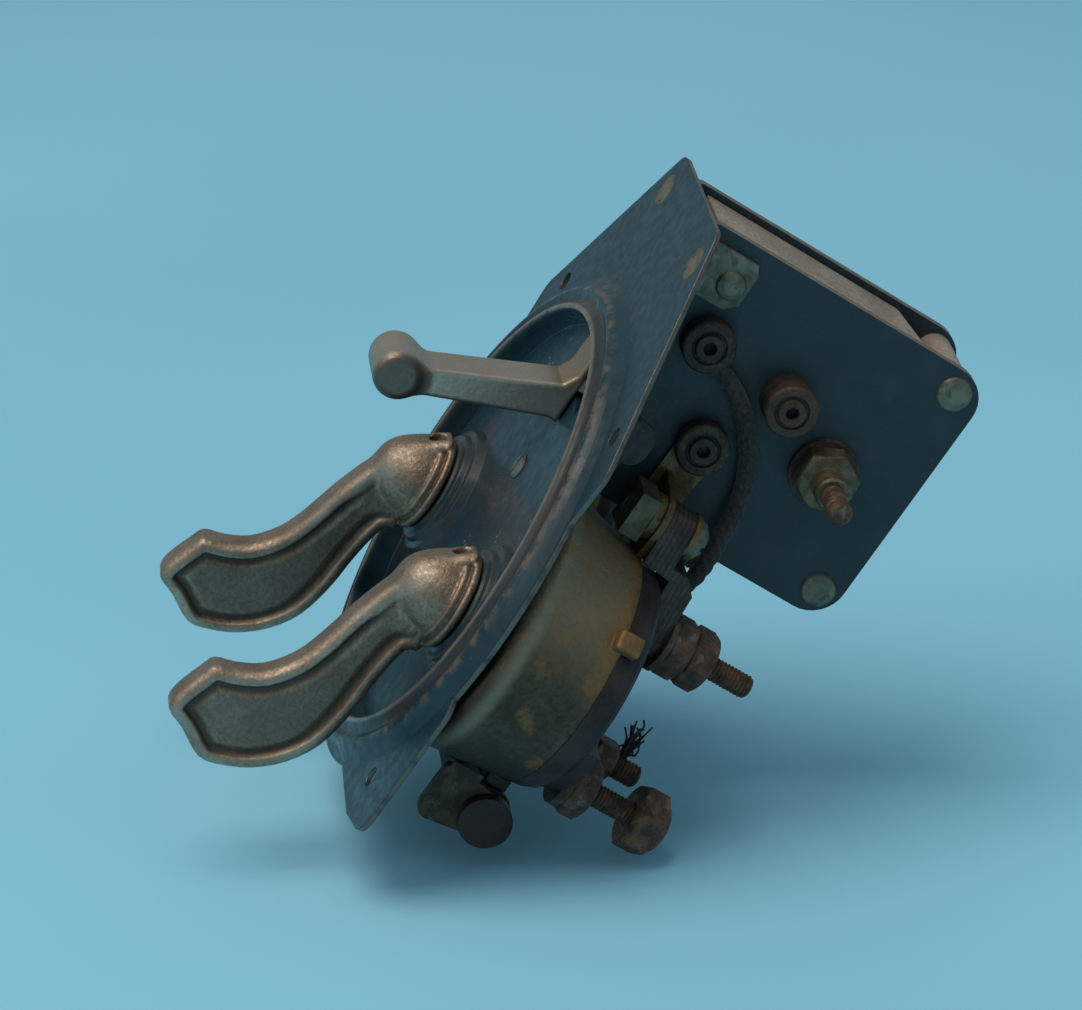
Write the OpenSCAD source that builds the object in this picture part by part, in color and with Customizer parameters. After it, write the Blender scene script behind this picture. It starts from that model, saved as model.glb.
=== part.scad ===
// Combination lever switch with a circuit-breaker box, for a vehicle's instrument panel.
// X is to the right and Z is up as the driver sees the dial, and Y runs back behind the panel.
// The origin is midway between the upper mounting holes, on the front face of the plate's flat rim.
// Below, everything is measured from the dial's centre, which at_dial() then puts in its place.

/* [Face plate] */
// Radius of the round part of the plate
plate_r = 53.5; // [53.5:0.5:55]
// Thickness of the pressed sheet
sheet_t = 1; // [0.8:0.1:1.2]
// Height of the ear's top edge above the dial's centre
ear_top = 77.5; // [77:0.5:80]
// Half the width of the ear's top edge
ear_half_w = 23.9; // [22.9:0.5:24.9]
// Inner edge radius of the raised ring
lip_r = 44.6; // [44.4:0.1:45]
// Height of the ring's inner edge in front of the rim
lip_h = 3.6; // [3:0.1:4]
// Radius of each mounting hole
mount_hole_r = 2; // [1.8:0.1:2.2]
// Distance from the centre plane to each upper mounting hole
mount_x = 40.5; // [40:0.5:41]
// Height of the upper mounting holes
mount_z = 39.3; // [39:0.1:40]

/* [Levers] */
// Distance from the centre plane to each lever's axis
hub_x = 28; // [27.5:0.5:28.5]
// Height of the lever axes
hub_z = -7; // [-7.5:0.5:-6.5]
// How far each lever stands outwards at rest, in degrees
splay = 2.8; // [0:0.2:4]
// Thickness of a lever's blade
blade_t = 7.6; // [6:0.2:8]
// Radius of a lever's collar
collar_r = 10.2; // [10:0.1:11]
// Radius of a lever's shaft
shaft_r = 3; // [2.8:0.1:3.2]
// Radial clearance of every running fit
run_gap = 0.05; // [0.03:0.01:0.08]
// Height of the selector's pivot
pivot_z = 13.6; // [13:0.2:14]
// Largest swing of the selector each way, in degrees
selector_swing = 18; // [12:1:18]

/* [Switch cases] */
// Largest radius of a switch case
case_r = 26; // [25:0.2:26.4]
// Wall thickness of a switch case
case_t = 1.5; // [1.2:0.1:1.8]
// Depth at which the cases meet their bases
case_back = 22.5; // [22:0.5:23]
// Radius of a terminal stud
stud_r = 2.4; // [2.2:0.1:2.5]
// Width across the flats of a terminal nut
nut_af = 11; // [10:0.5:11]

/* [Breaker box] */
// Distance from the centre plane to each panel's outer face
panel_x = 13.2; // [12.8:0.2:13.6]
// Distance from the centre plane to the far panel's outer face
far_x = 11.8; // [11.6:0.2:12.4]
// Thickness of an insulating panel
panel_t = 2.4; // [2:0.2:2.6]
// Height of the panels' lower edge
panel_low = 20.6; // [20:0.2:21]
// Height of the panels' upper edge
panel_high = 77.2; // [77:0.2:78]
// Depth of the panels' rear edge
panel_back = 65.3; // [64:0.1:66]

/* [Hidden] */
$fn = 72;

sides = [1, -1];
floor_h = -1.2;                       // dial floor, measured forwards from the rim
floor_back = sheet_t - floor_h;       // depth of the dial floor's rear face
boss_r = 14.5;
ear_rivet_r = 3.3;
stud_core = stud_r - 0.35;             // stud radius under its nuts
collar_back = -3.2;
bushing_r = 4.5;
selector_z = 34.6;                    // height of the selector's root
panel_in = panel_x - panel_t;
far_in = far_x - panel_t;
posts = [[60.5, 25.8], [59.6, 72.4]];
base_back = case_back + 5.6;
pad_back = base_back + 3;
stud_up = [0.5, 13.5];                // stud places, measured from the lever's axis
stud_mid = [-2, -13.9];
stud_low = [8, -17.3];
link_x = 24.5;
link_z = 25.3;
link_t = 5.6;
link_front = 22.2;
cups = [[13.2, 56.9, 0, 4], [32.8, 55, 0, 7], [23.8, 39.2, 1.2, 3]];
aux_y = 47.1;
aux_z = 46.5;
tab_rivet = [10.4, 68.6];
coil_z = 60;
hinge_y = 49;
hinge_z = 71;

module at_dial() {
    translate([0, 0, -mount_z]) children();
}
// Placing helpers: each names the direction in which its child is drawn.
module slab(y0, y1) {
    translate([0, y1, 0]) rotate([90, 0, 0]) linear_extrude(y1 - y0) children();
}
module side_slab(x0, x1) {
    translate([x0, 0, 0]) rotate([90, 0, 90]) linear_extrude(x1 - x0) children();
}
module along_y(x, y, z) {
    translate([x, y, z]) rotate([-90, 0, 0]) children();
}
module along_x(x, y, z) {
    translate([x, y, z]) rotate([0, 90, 0]) children();
}
module rod_y(x, z, y0, y1, r) {
    along_y(x, y0, z) cylinder(r = r, h = y1 - y0);
}
module rod_x(y, z, x0, x1, r) {
    along_x(x0, y, z) cylinder(r = r, h = x1 - x0);
}
module turned_y(x, y, z, profile) {
    along_y(x, y, z) rotate_extrude() polygon(profile);
}
module turned_front(x, z, profile) {
    translate([x, 0, z]) rotate([90, 0, 0]) rotate_extrude() polygon(profile);
}
module turned_x(x, y, z, profile) {
    along_x(x, y, z) rotate_extrude() polygon(profile);
}
module hex_nut(af, h, bore) {
    difference() {
        cylinder(r = af / sqrt(3), h = h, $fn = 6);
        translate([0, 0, -1]) cylinder(r = bore, h = h + 2);
    }
}

// Outlines
function arc(c, r, from, to, n = 8) =
    [for (i = [0 : n]) c + r * [cos(from + (to - from) * i / n), sin(from + (to - from) * i / n)]];
function normal_angle(a, b) =
    atan2(b[1] - a[1], b[0] - a[0]) - 90
    + asin((a[2] - b[2]) / norm([b[0] - a[0], b[1] - a[1]]));
function upward(angle, start) = angle < start ? upward(angle + 360, start) : angle;
// A belt drawn tightly round circles [x, y, r] that are listed anticlockwise
function belt(discs) = [
    for (i = [0 : len(discs) - 1])
        let (
            here = discs[i],
            before = discs[(i + len(discs) - 1) % len(discs)],
            after = discs[(i + 1) % len(discs)],
            from = normal_angle(before, here),
            to = upward(normal_angle(here, after), from)
        )
        each arc([here[0], here[1]], here[2], from, to)
];
function curve_point(a, b, c, d, t) =
    (2 * b + (c - a) * t + (2 * a - 5 * b + 4 * c - d) * t * t + (3 * b - a - 3 * c + d) * t * t * t) / 2;
// A smooth closed curve through the points
function smooth(points, steps = 3) =
    let (n = len(points))
    [for (i = [0 : n - 1]) for (k = [0 : steps - 1])
        curve_point(points[(i + n - 1) % n], points[i], points[(i + 1) % n], points[(i + 2) % n], k / steps)];
// A smooth open curve through the points
function smooth_run(points, steps = 3) =
    let (n = len(points) - 1)
    concat(
        [for (i = [0 : n - 1]) for (k = [0 : steps - 1])
            curve_point(points[max(i - 1, 0)], points[i], points[i + 1], points[min(i + 2, n)], k / steps)],
        [points[n]]
    );
function sector(centre, r0, r1, from, to) =
    concat(arc(centre, r1, from, to, 16), arc(centre, r0, to, from, 16));

// ---- Face plate ----
ring_front = [
    [lip_r - 1.2, floor_h], [lip_r - 0.7, 0.6], [lip_r - 0.4, 2.6], [lip_r, lip_h], [lip_r + 0.9, lip_h - 0.1],
    [lip_r + 1.7, 2.8], [lip_r + 2.6, 2.3], [lip_r + 3.4, 2.5], [lip_r + 4.1, 2.8], [lip_r + 5, 2.5],
    [lip_r + 6.2, 1.3], [lip_r + 8, 0],
];
ring_back = [
    [lip_r + 6.4, 0.4 - sheet_t / 4], [lip_r + 5, 1.2], [lip_r + 4.1, 1.6], [lip_r + 2.8, 1.2],
    [lip_r + 1.6, 1.7], [lip_r + 0.7, 2.2], [lip_r + 0.3, 1.2],
];
boss_profile = [
    [bushing_r, 2.8], [9.6, 2.8], [10.2, 2.2], [11.4, 2], [11.9, 0.8], [13.2, 0.6], [14.1, floor_h],
    [boss_r, floor_h], [boss_r, floor_h - sheet_t], [13.2, floor_h - sheet_t], [12.5, -0.4], [11.1, -0.2],
    [10.6, 1], [9.6, 1.2], [9.2, 1.8], [bushing_r, 1.8],
];
module plate_outline() {
    circle(r = plate_r, $fn = 120);
    polygon(belt([
        [40, 5, 5], [44.6, 33.5, 5], [ear_half_w - 4, ear_top - 4, 4],
        [4 - ear_half_w, ear_top - 4, 4], [-44.6, 33.5, 5], [-40, 5, 5],
    ]));
    polygon(belt([[0, -44.4, 4.6], [38, -45.6, 4.8], [46.6, -43.4, 5.2], [48.4, -20, 5], [0, -20, 5]]));
}
module face_plate() {
    color([0.06, 0.13, 0.2]) at_dial()
    difference() {
        union() {
            difference() {
                slab(0, sheet_t) plate_outline();
                rod_y(0, 0, -1, 3, lip_r + 7.9);
            }
            difference() {
                turned_front(0, 0, concat(
                    [[0, floor_h]], smooth_run(ring_front), [[lip_r + 8, -sheet_t]], smooth_run(ring_back),
                    [[lip_r - 0.1, floor_h - sheet_t], [0, floor_h - sheet_t]]
                ));
                for (s = sides) rod_y(s * hub_x, hub_z, -5, 5, boss_r - 0.1);
            }
            for (s = sides) turned_front(s * hub_x, hub_z, boss_profile);
        }
        slab(-1, 5) polygon(sector([0, pivot_z], 19.3, 23, 90 - selector_swing - 11.5, 90 + selector_swing + 11.5));
        rod_y(0, pivot_z, -1, 5, stud_r + 0.2);
        for (s = sides) rod_y(s * mount_x, mount_z, -1, 5, mount_hole_r);
        for (s = sides) rod_y(s * 20.2, 69.9, -1, 5, 1.6);
        for (s = sides) rod_y(s * 20.2, 69.9, -1, 0.5, ear_rivet_r);
        rod_y(38, -41.8, -1, 5, mount_hole_r);
    }
}
module ear_rivets() {
    color([0.5, 0.43, 0.3]) at_dial()
    for (s = sides)
        turned_y(s * 20.2, 0, 69.9, [
            [0, 0], [ear_rivet_r, 0], [ear_rivet_r, 0.5], [1.6, 0.5], [1.6, 2.4], [2.6, 2.4], [2.2, 3.4], [0, 3.4],
        ]);
}
module clip_nuts() {
    color([0.2, 0.22, 0.24]) at_dial()
    for (s = sides)
        difference() {
            union() {
                slab(sheet_t, sheet_t + 1.2)
                    polygon(belt([[s * mount_x - 2, 36.3, 3], [s * mount_x + 2, 36.3, 3],
                        [s * mount_x + 1, 42, 3], [s * mount_x - 2, 42, 3]]));
                side_slab(s > 0 ? 35.5 : -36.7, s > 0 ? 36.7 : -35.5)
                    polygon(belt([[2.2, 35.8, 1.2], [5.2, 38.2, 3.4], [5.2, 40.2, 3.4], [2.2, 43, 1.2]]));
            }
            rod_y(s * mount_x, mount_z, -1, 5, mount_hole_r);
        }
}
module shaft_bushings() {
    color([0.55, 0.45, 0.25]) at_dial()
    for (s = sides)
        difference() {
            rod_y(s * hub_x, hub_z, -2.8, 6.5, bushing_r);
            rod_y(s * hub_x, hub_z, -4, 8, shaft_r + run_gap);
        }
}

// ---- Levers, drawn about their own axis and then moved to it ----
// Outline in depth and height, from the collar's top round the spade-shaped end and back
blade_points = [
    [-3.6, 9.6], [-8.6, 8.2], [-12.2, 4.6], [-15.6, -2], [-18.4, -10], [-20.6, -18.5], [-22.8, -24.2],
    [-26.6, -29], [-31.2, -31.4], [-35.2, -32.6], [-36.6, -35.4], [-38.6, -41.4], [-38, -44.6],
    [-34, -46.6], [-28.4, -50], [-23.8, -49.4], [-18.4, -47], [-13.4, -42.7], [-9.8, -36.8],
    [-8.1, -29], [-7.5, -20], [-6.2, -12.4], [-3.6, -9.6],
];
pocket_points = [
    [-14.4, -9.6], [-17, -18.4], [-19.4, -25.4], [-24, -31.4], [-30.2, -34.6], [-33.4, -35.6],
    [-35.4, -41.2], [-32, -43.8], [-28, -46.6], [-23.8, -46], [-19.8, -44], [-16, -40.2],
    [-13, -35], [-11.4, -28.6], [-11, -20], [-12, -12.6],
];
hub_profile = concat(
    [[0, 0], [collar_r, 0], [collar_r, 1.4], [collar_r - 0.7, 2]],
    arc([0, 2], 8, 0, 0, 1),
    [for (a = [10 : 10 : 90]) [8 * cos(a), 2 + 10.4 * sin(a)]]
);
module lever(side) {
    translate([side * hub_x, 0, hub_z]) rotate([0, -side * splay, 0])
    difference() {
        union() {
            side_slab(-blade_t / 2, blade_t / 2) polygon(smooth(blade_points));
            translate([0, collar_back, 0]) turned_front(0, 0, hub_profile);
        }
        for (s = sides)
            translate([s * blade_t / 2, 0, 0]) side_slab(-1.4, 1.4) polygon(smooth(pocket_points));
        rod_y(0, 0, -11, 0, shaft_r);
        translate([0, -7, 0]) cylinder(r = 1.5, h = 12);
    }
}
module shaft(side) {
    rod_y(side * hub_x, hub_z, -11, 20.4, shaft_r);
}
module set_screw(side) {
    translate([side * hub_x, -7, hub_z]) rotate([0, -side * splay, 0])
        translate([0, 0, shaft_r + 0.1]) cylinder(r = 1.5, h = 3.5);
}
module rotor(side) {
    x = side * hub_x;
    difference() {
        union() {
            rod_y(x, hub_z, 7.5, 12.5, 21);
            rod_y(x, hub_z, 12.5, 17.5, 6);
        }
        rod_y(x, hub_z, 7, 18, shaft_r);
        difference() {
            rod_y(x, hub_z, 7, 8.7, 18.4);
            rod_y(x, hub_z, 6, 9, 14.6);
        }
    }
}
module wiper(side) {
    slab(12.5, 14)
        polygon(sector([side * hub_x, hub_z], 7, 20.6, 35, 145));
}
module lever_right() color([0.42, 0.39, 0.35]) at_dial() lever(1);
module lever_left() color([0.42, 0.39, 0.35]) at_dial() lever(-1);
module shaft_right() color([0.5, 0.5, 0.5]) at_dial() shaft(1);
module shaft_left() color([0.5, 0.5, 0.5]) at_dial() shaft(-1);
module set_screw_right() color([0.2, 0.2, 0.2]) at_dial() set_screw(1);
module set_screw_left() color([0.2, 0.2, 0.2]) at_dial() set_screw(-1);
module rotor_right() color([0.16, 0.1, 0.08]) at_dial() rotor(1);
module rotor_left() color([0.16, 0.1, 0.08]) at_dial() rotor(-1);
module wiper_right() color([0.6, 0.45, 0.2]) at_dial() wiper(1);
module wiper_left() color([0.6, 0.45, 0.2]) at_dial() wiper(-1);

// ---- Selector ----
knob_y = -30.2;
knob_z = 18.9;
module selector_lever() {
    color([0.5, 0.46, 0.4]) at_dial() {
        side_slab(-5, 5)
            polygon([[0.8, 26], [-1.2, 26.1], [-25, 17.2], [-29.5, 17.5], [-27.8, 22.4], [-2.2, 33.6],
                [-1, 36], [-0.8, 42], [0.8, 42]]);
        intersection() {
            along_x(-7.4, knob_y, knob_z) cylinder(r = 5.4, h = 14.8);
            translate([0, knob_y, knob_z]) rotate([0, 90, 0]) rotate_extrude()
                polygon(concat([[0, -7.4]], [for (a = [-60 : 15 : 60]) [4 + 1.4 * cos(a), 6.6 * sin(a)]], [[0, 7.4]]));
        }
        translate([-3.5, 0.8, selector_z - 1.4]) cube([7, 3.4, 2.8]);
    }
}
module selector_arm() {
    color([0.45, 0.45, 0.42]) at_dial()
    difference() {
        slab(2.6, 4.2) polygon(belt([[0, pivot_z, 5], [0, 35.2, 4.6]]));
        rod_y(0, pivot_z, 2, 5, stud_r + run_gap);
        translate([-3.5, 2, selector_z - 1.4]) cube([7, 3, 2.8]);
    }
}
module selector_wiper() {
    color([0.6, 0.45, 0.2]) at_dial() slab(4.2, 5.2) polygon(belt([[0, 22, 3], [0, 29, 3]]));
}
module selector_pivot() {
    color([0.62, 0.6, 0.55]) at_dial()
    difference() {
        turned_y(0, 0.5, pivot_z, [
            [0, 0], [2, 0], [stud_r + 0.2, 0.5], [stud_r + 0.2, 1.7], [stud_r, 1.7], [stud_r, 4.1],
            [4.2, 4.1], [4.2, 5.3], [0, 5.3],
        ]);
        translate([-0.4, 0.2, pivot_z - 3]) cube([0.8, 0.9, 6]);
    }
}

// ---- Switch cases and bases ----
case_outer = [
    [5.5, floor_back], [case_r - 2.4, floor_back], [case_r - 0.9, floor_back + 0.5],
    [case_r - 0.2, floor_back + 1.4], [case_r, floor_back + 2.8], [case_r - 1.4, case_back],
];
case_inner = [
    [case_r - 1.4 - case_t, case_back], [case_r - case_t, floor_back + 3.6],
    [case_r - case_t - 1.4, floor_back + case_t], [5.5, floor_back + case_t],
];
lug_angles = [38, 158, 278];
module case_body(side) {
    x = side * hub_x;
    difference() {
        union() {
            turned_y(x, 0, hub_z, concat(case_outer, case_inner));
            difference() {
                turned_y(x - side * 1.5, 0, hub_z + 5, [
                    [0, floor_back + 0.6], [22, floor_back + 0.6], [24.4, floor_back + 2.6], [20.6, 17], [0, 17],
                ]);
                rod_y(x, hub_z, 0, 30, case_r - case_t);
            }
            for (a = lug_angles) lug(x, side, a);
        }
        rod_y(x, hub_z, case_back, case_back + 8, case_r - 1.4);
    }
}
module lug(x, side, angle) {
    a = side > 0 ? angle : 180 - angle;
    slab(case_back - 2.4, case_back + 2.8)
        polygon(sector([x, hub_z], case_r - 2, case_r + 1.4, a - 4.5, a + 4.5));
}
module base_body(side) {
    x = side * hub_x;
    difference() {
        union() {
            turned_y(x, case_back, hub_z, [
                [0, 0], [case_r - 1.5, 0], [case_r - 1.7, 2.6], [case_r - 2.4, 4.6], [case_r - 3.4, 5.6], [0, 5.6],
            ]);
            intersection() {
                rod_y(x, hub_z, base_back - 1, pad_back, 22.4);
                translate([x - 30, base_back - 1, hub_z - 30]) cube([60, 10, 24]);
            }
        }
        for (p = [stud_up, stud_mid, stud_low])
            rod_y(x + side * p[0], hub_z + p[1], case_back - 1, pad_back + 1, stud_core);
        rod_y(x, hub_z, case_back - 1, case_back + 3, 5);
    }
}
module case_right() color([0.36, 0.33, 0.24]) at_dial() case_body(1);
module case_left() color([0.36, 0.33, 0.24]) at_dial() case_body(-1);
module base_right() color([0.13, 0.08, 0.07]) at_dial() base_body(1);
module base_left() color([0.13, 0.08, 0.07]) at_dial() base_body(-1);
module detent_balls() {
    color([0.6, 0.6, 0.6]) at_dial()
    for (s = sides) translate([s * hub_x, 6.6, hub_z + 16.5]) sphere(r = 1.6);
}
module detent_springs() {
    color([0.5, 0.5, 0.5]) at_dial()
    for (s = sides)
        turned_y(s * hub_x, floor_back + case_t, hub_z + 16.5, [[0.9, 0], [1.4, 0], [1.4, 1.4], [0.9, 1.4]]);
}
module contact_buttons() {
    color([0.6, 0.42, 0.2]) at_dial()
    for (s = sides) for (p = [stud_up, stud_mid, stud_low])
        rod_y(s * (hub_x + p[0]), hub_z + p[1], 14.5, 19.6, p[1] < -14 ? 1.8 : 2.4);
}

// ---- Terminal studs and their fastenings ----
// Each stud's place, where its end is, and where its nuts end
function stud_ends(side) = [
    [stud_up, side > 0 ? 54.6 : 55, base_back + (side > 0 ? link_t + 11 : 15.6)],
    [stud_mid, 47.8, pad_back + 10.6], [stud_low, 53.5, pad_back + 6.6],
];
module studs(side) {
    for (e = stud_ends(side)) {
        x = side * (hub_x + e[0][0]);
        z = hub_z + e[0][1];
        rod_y(x, z, 19.6, case_back, e[0][1] < -14 ? 2.4 : 4);
        rod_y(x, z, 19.6, e[2] + 0.1, stud_core);
        rod_y(x, z, e[2] + 0.1, e[1], stud_r);
    }
}
module washer_y(x, z, y, r, h) {
    difference() {
        rod_y(x, z, y, y + h, r);
        rod_y(x, z, y - 1, y + h + 1, stud_core + 0.1);
    }
}
module stud_washers() {
    color([0.42, 0.25, 0.14]) at_dial() {
        washer_y(hub_x + stud_up[0], hub_z + stud_up[1], base_back + link_t + 0.2, 6.4, 1.2);
        washer_y(-hub_x - stud_up[0], hub_z + stud_up[1], base_back, 6.4, 1.2);
        for (s = sides) for (p = [stud_mid, stud_low])
            washer_y(s * (hub_x + p[0]), hub_z + p[1], pad_back, p[1] < -14 ? 5.6 : 4.2, p[1] < -14 ? 2 : 1);
    }
}
module nut_y(x, z, y, af, h) {
    along_y(x, y, z) rotate([0, 0, 30]) hex_nut(af, h, stud_core + 0.05);
}
module stud_nuts_right() {
    x = hub_x + stud_up[0];
    y = base_back + link_t + 1.4;
    color([0.4, 0.22, 0.13]) at_dial() {
        nut_y(x, hub_z + stud_up[1], y, nut_af, 4.8);
        nut_y(x, hub_z + stud_up[1], y + 4.8, nut_af, 4.8);
        nut_y(hub_x + stud_mid[0], hub_z + stud_mid[1], pad_back + 1, 7.5, 4.8);
        nut_y(hub_x + stud_mid[0], hub_z + stud_mid[1], pad_back + 5.8, 7.5, 4.8);
        nut_y(hub_x + stud_low[0], hub_z + stud_low[1], pad_back + 2, nut_af, 4.6);
    }
}
module stud_nuts_left() {
    color([0.4, 0.22, 0.13]) at_dial() {
        for (i = [0 : 2])
            nut_y(-hub_x - stud_up[0], hub_z + stud_up[1], base_back + 1.2 + 4.8 * i, nut_af, 4.8);
        nut_y(-hub_x - stud_mid[0], hub_z + stud_mid[1], pad_back + 1, 7.5, 4.8);
        nut_y(-hub_x - stud_mid[0], hub_z + stud_mid[1], pad_back + 5.8, 7.5, 4.8);
        nut_y(-hub_x - stud_low[0], hub_z + stud_low[1], pad_back + 2, nut_af, 4.6);
    }
}
module cap_nut() {
    color([0.38, 0.2, 0.13]) at_dial()
    along_y(hub_x + stud_low[0], 47, hub_z + stud_low[1])
        difference() {
            union() {
                cylinder(r = 12 / sqrt(3), h = 5.6, $fn = 6);
                translate([0, 0, 5.6]) cylinder(r1 = 6, r2 = 4.4, h = 2.2);
            }
            translate([0, 0, -1]) cylinder(r = stud_r + 0.05, h = 7.8);
        }
}
module resistor_bracket() {
    color([0.4, 0.3, 0.16]) at_dial()
    difference() {
        union() {
            side_slab(34, 36) polygon(belt([[14, -42.2, 2.6], [23.8, -39, 4.4], [20, -35.5, 2], [13.6, -34.5, 2]]));
            translate([24, 12.4, -35.6]) cube([12, 6.6, 4]);
        }
        rod_y(hub_x, hub_z, 0, 30, case_r + 0.05);
        rod_x(23.8, -39, 30, 40, 1.8);
    }
}
module resistor_spool() {
    color([0.07, 0.06, 0.08]) at_dial() {
        rod_x(23.8, -39, 36, 38.5, 5.2);
        rod_x(23.8, -39, 17, 36, 1.8);
        turned_x(18, 23.8, -39, [
            [1.8, 0], [5.2, 0], [5.2, 1.6], [4.4, 1.8], [4.4, 13.8], [5.2, 14], [5.2, 15.6], [1.8, 15.6],
        ]);
    }
}

// ---- Breaker box ----
panel_outline = concat(
    [[8, panel_low]],
    arc([panel_back - 7, panel_low + 7], 7, -90, 0),
    arc([panel_back - 7, panel_high - 7], 7, 0, 90),
    arc([sheet_t + 1.5, panel_high - 1.2], 1.2, 90, 180, 3),
    [[sheet_t + 0.3, 46], [8, 46]]
);
module panel(x0) {
    difference() {
        side_slab(x0, x0 + panel_t) polygon(panel_outline);
        for (p = posts) rod_x(p[0], p[1], x0 - 1, x0 + 4, 1.6);
        rod_x(tab_rivet[0], tab_rivet[1], x0 - 1, x0 + 4, 1.6);
        rod_x(aux_y, aux_z, x0 - 1, x0 + 4, stud_core);
        for (c = cups) rod_x(c[0], c[1], x0 - 1, x0 + 4, 2.2);
    }
}
module panel_near() color([0.05, 0.09, 0.14]) at_dial() panel(panel_in);
module panel_far() color([0.05, 0.09, 0.14]) at_dial() panel(-far_x);
module bracket(outer) {
    side_slab(outer, outer + 1.4)
        polygon([[sheet_t, 63.8], [11.6, 63.8], [13.9, 66], [13.9, 72.6], [12.8, 74.4], [sheet_t, 74.4]]);
    translate([outer, sheet_t, 63.8]) cube([24.6 - outer, 1.4, 10.6]);
}
module panel_brackets() {
    color([0.3, 0.33, 0.26]) at_dial()
    difference() {
        union() {
            bracket(panel_x);
            mirror([1, 0, 0]) bracket(far_x);
        }
        rod_x(tab_rivet[0], tab_rivet[1], -20, 20, 1.6);
        for (s = sides) rod_y(s * 20.2, 69.9, 0, 5, 1.6);
    }
}
module rivet_x(outer) {
    turned_x(0, tab_rivet[0], tab_rivet[1], [
        [0, outer - panel_t - 1], [2.4, outer - panel_t - 1], [2.4, outer - panel_t], [1.6, outer - panel_t],
        [1.6, outer + 1.4], [2.9, outer + 1.4], [2.6, outer + 2], [1.5, outer + 2.4], [0, outer + 2.5],
    ]);
}
module bracket_rivets() {
    color([0.4, 0.42, 0.34]) at_dial() {
        rivet_x(panel_x);
        mirror([1, 0, 0]) rivet_x(far_x);
    }
}
module spacer_posts() {
    color([0.35, 0.34, 0.32]) at_dial()
    for (p = posts)
        difference() {
            rod_x(p[0], p[1], -far_in, panel_in, 3.6);
            rod_x(p[0], p[1], -20, 20, 1.6);
        }
}
module post_rivets() {
    color([0.36, 0.38, 0.32]) at_dial()
    for (p = posts)
        turned_x(0, p[0], p[1], [
            [0, -far_x - 1], [2, -far_x - 0.95], [3.2, -far_x - 0.6], [3.5, -far_x], [1.6, -far_x],
            [1.6, panel_x], [3.5, panel_x], [3.2, panel_x + 0.6], [2, panel_x + 0.95], [0, panel_x + 1],
        ]);
}
module breaker_yoke() {
    color([0.3, 0.26, 0.24]) at_dial()
    difference() {
        union() {
            translate([0, 0, 74.2]) linear_extrude(1.8)
                polygon([[-8.6, 4], [panel_in - 0.4, 4], [panel_in - 0.4, 52.5], [-8.6, 48.5]]);
            translate([-8.6, 4, 50]) cube([panel_in + 8.2, 1.8, 26]);
            for (x = [-8.6, 6.6]) translate([x, 46.6, hinge_z - 2.4]) cube([1.8, 4.8, 6]);
        }
        rod_y(0, coil_z, 3, 8, 2.6);
        rod_x(hinge_y, hinge_z, -20, 20, 1.2);
    }
}
module coil_core() {
    color([0.35, 0.35, 0.36]) at_dial() {
        rod_y(0, coil_z, 3, 6, 2.6);
        rod_y(0, coil_z, 5.8, 39, 4);
    }
}
module coil_spool() {
    color([0.3, 0.12, 0.06]) at_dial()
    turned_y(0, 0, coil_z, [
        [4, 6], [9.6, 6], [9.6, 7.4], [5, 7.4], [5, 35.6], [9.6, 35.6], [9.6, 37], [4, 37],
    ]);
}
module coil_winding() {
    color([0.32, 0.14, 0.05]) at_dial()
    turned_y(0, 0, coil_z, concat(
        [[5, 7.4]],
        [for (i = [0 : 13]) each [[8, 7.4 + 2 * i], [8.5, 8.4 + 2 * i]]],
        [[8, 35.6], [5, 35.6]]
    ));
}
module hinge_pin() {
    color([0.5, 0.5, 0.5]) at_dial() rod_x(hinge_y, hinge_z, -8.6, 8.4, 1.2);
}
module armature() {
    color([0.33, 0.33, 0.34]) at_dial()
    difference() {
        union() {
            translate([-6, 40.4, 49]) cube([12, 1.6, 20]);
            translate([-6, 40.4, 67.4]) cube([12, 8.4, 1.6]);
            rod_x(hinge_y, hinge_z, -6, 6, 2.6);
            translate([-6, 46.8, 67.4]) cube([12, 2, 3]);
        }
        rod_x(hinge_y, hinge_z, -20, 20, 1.2 + run_gap);
    }
}
module armature_contact() {
    color([0.6, 0.55, 0.45]) at_dial() rod_y(0, 52, 42, 43.6, 2);
}
module contact_bracket() {
    color([0.45, 0.34, 0.18]) at_dial()
    difference() {
        union() {
            translate([-5, 47, 40.4]) cube([10, 1.6, 15.6]);
            translate([-far_in, 47, 38.6]) cube([far_in + panel_in, 1.6, 1.8]);
            translate([-5, 47, 38.8]) cube([10, 1.6, 4]);
        }
        rod_y(0, 52, 40, 55, 1.8);
    }
}
module contact_screw() {
    color([0.5, 0.42, 0.24]) at_dial() {
        rod_y(0, 52, 44.2, 52, 1.8);
        rod_y(0, 52, 52, 54, 3.4);
    }
}

// ---- Terminals on the near panel ----
module cup_terminals() {
    color([0.26, 0.17, 0.13]) at_dial()
    for (c = cups)
        turned_x(panel_x, c[0], c[1], [
            [0, -panel_t - 0.8], [3.2, -panel_t - 0.8], [3.2, -panel_t], [2.2, -panel_t], [2.2, c[2]],
            [5.2, c[2]], [5.2, c[2] + c[3] - 0.4], [4.8, c[2] + c[3]], [3.4, c[2] + c[3]],
            [3.2, c[2] + c[3] - 0.5], [2.8, c[2] + c[3] - 0.5], [2.6, c[2] + c[3] + 0.5],
            [1.3, c[2] + c[3] + 0.5], [1.1, c[2] + c[3] - 1.6], [0, c[2] + c[3] - 1.6],
        ]);
}
module aux_stud() {
    color([0.42, 0.24, 0.16]) at_dial() {
        rod_x(aux_y, aux_z, panel_in - 2, panel_in, 5);
        rod_x(aux_y, aux_z, panel_in - 2, panel_x + 11.9, stud_core);
        rod_x(aux_y, aux_z, panel_x + 11.9, 34.4, stud_r);
    }
}
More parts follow.
